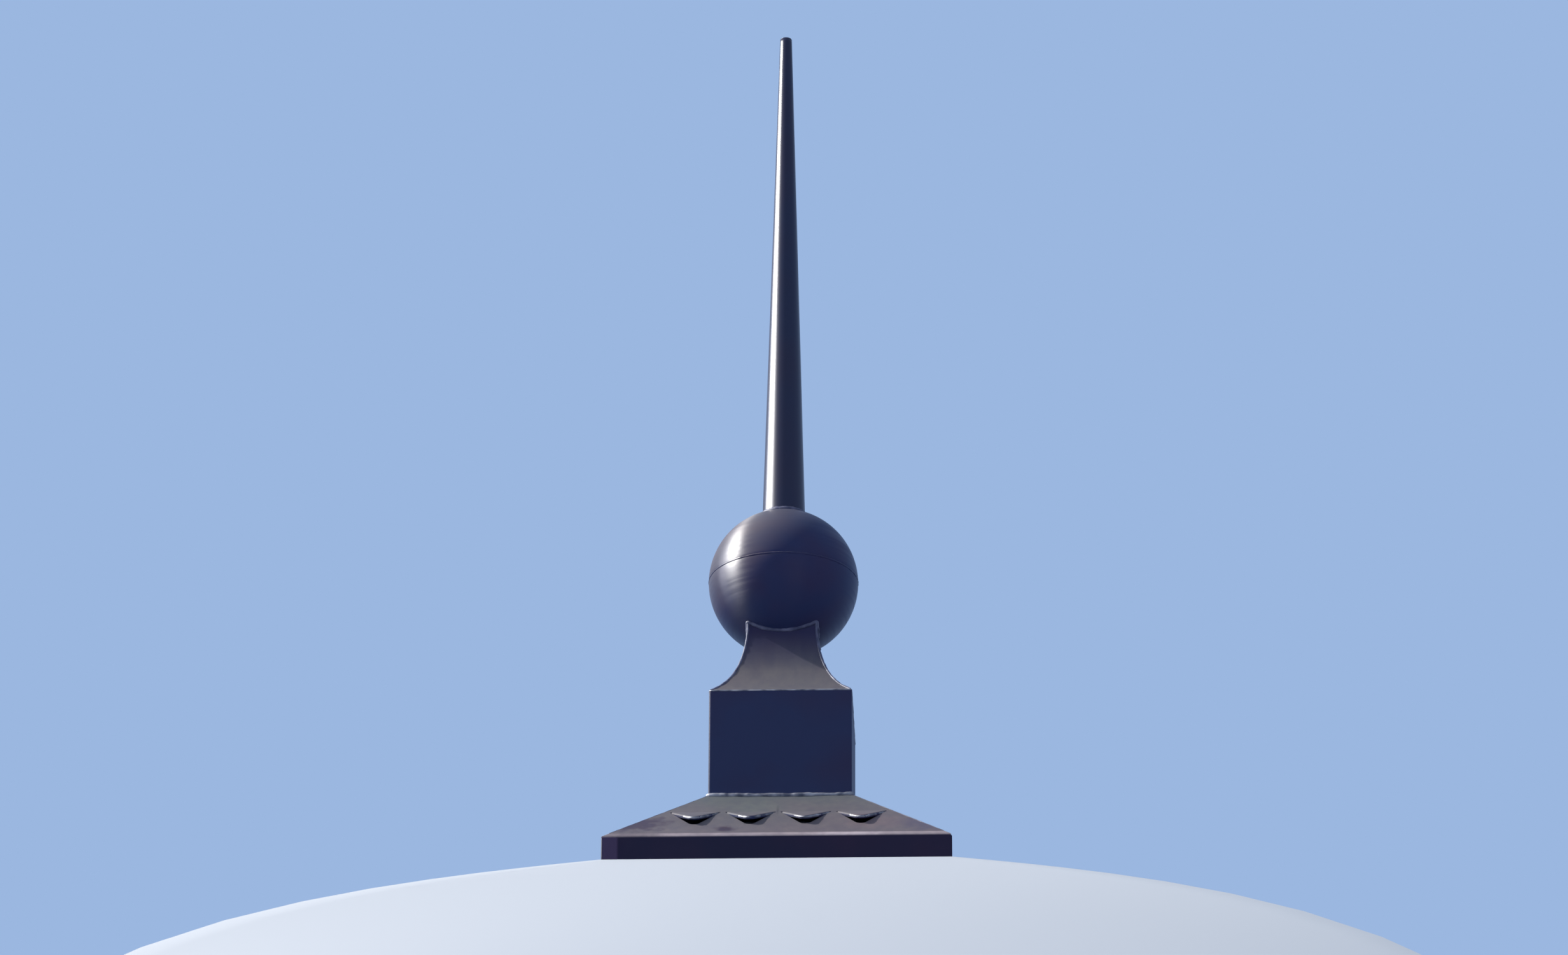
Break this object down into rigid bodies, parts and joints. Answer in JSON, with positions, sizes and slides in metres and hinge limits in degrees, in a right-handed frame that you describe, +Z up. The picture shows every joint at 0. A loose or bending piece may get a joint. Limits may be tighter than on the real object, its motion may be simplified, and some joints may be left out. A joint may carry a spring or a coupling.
{
  "type": "roof finial",
  "caption": "Square sheet-metal roof finial: a tapering round spire on a ball, above a hollow-curved neck, a plain box and a vented skirt that caps a roof's peak.",
  "frame": {"origin": "on the spire's axis, in the plane of the drip edge's rim", "axes": "+Z up along the spire, -Y towards the front face, +X to the right seen from the front"},
  "size_m": [0.399, 0.399, 1.173],
  "materials": {
    "coated_sheet": "dark bronze satin coating on steel sheet",
    "solder": "soldered seam under the same coating",
    "mast_steel": "hot-dip galvanised"
  },
  "bodies": {
    "root": {"neck_front": "coated_sheet", "neck_right": "coated_sheet", "neck_back": "coated_sheet", "neck_left": "coated_sheet", "box_front": "coated_sheet", "box_right": "coated_sheet", "box_back": "coated_sheet", "box_left": "coated_sheet", "skirt_front": "coated_sheet", "skirt_right": "coated_sheet", "skirt_back": "coated_sheet", "skirt_left": "coated_sheet", "drip_edge_front": "coated_sheet", "drip_edge_right": "coated_sheet", "drip_edge_back": "coated_sheet", "drip_edge_left": "coated_sheet", "spire_cone": "coated_sheet", "spire_tip_plug": "coated_sheet", "ball_upper_half": "coated_sheet", "ball_lower_half": "coated_sheet", "spire_foot_ring": "solder", "ball_seam_band": "solder", "mast_tube": "mast_steel", "mast_upper_plate": "mast_steel", "mast_socket": "mast_steel", "mast_brace": "mast_steel"}
  },
  "joints": []
}
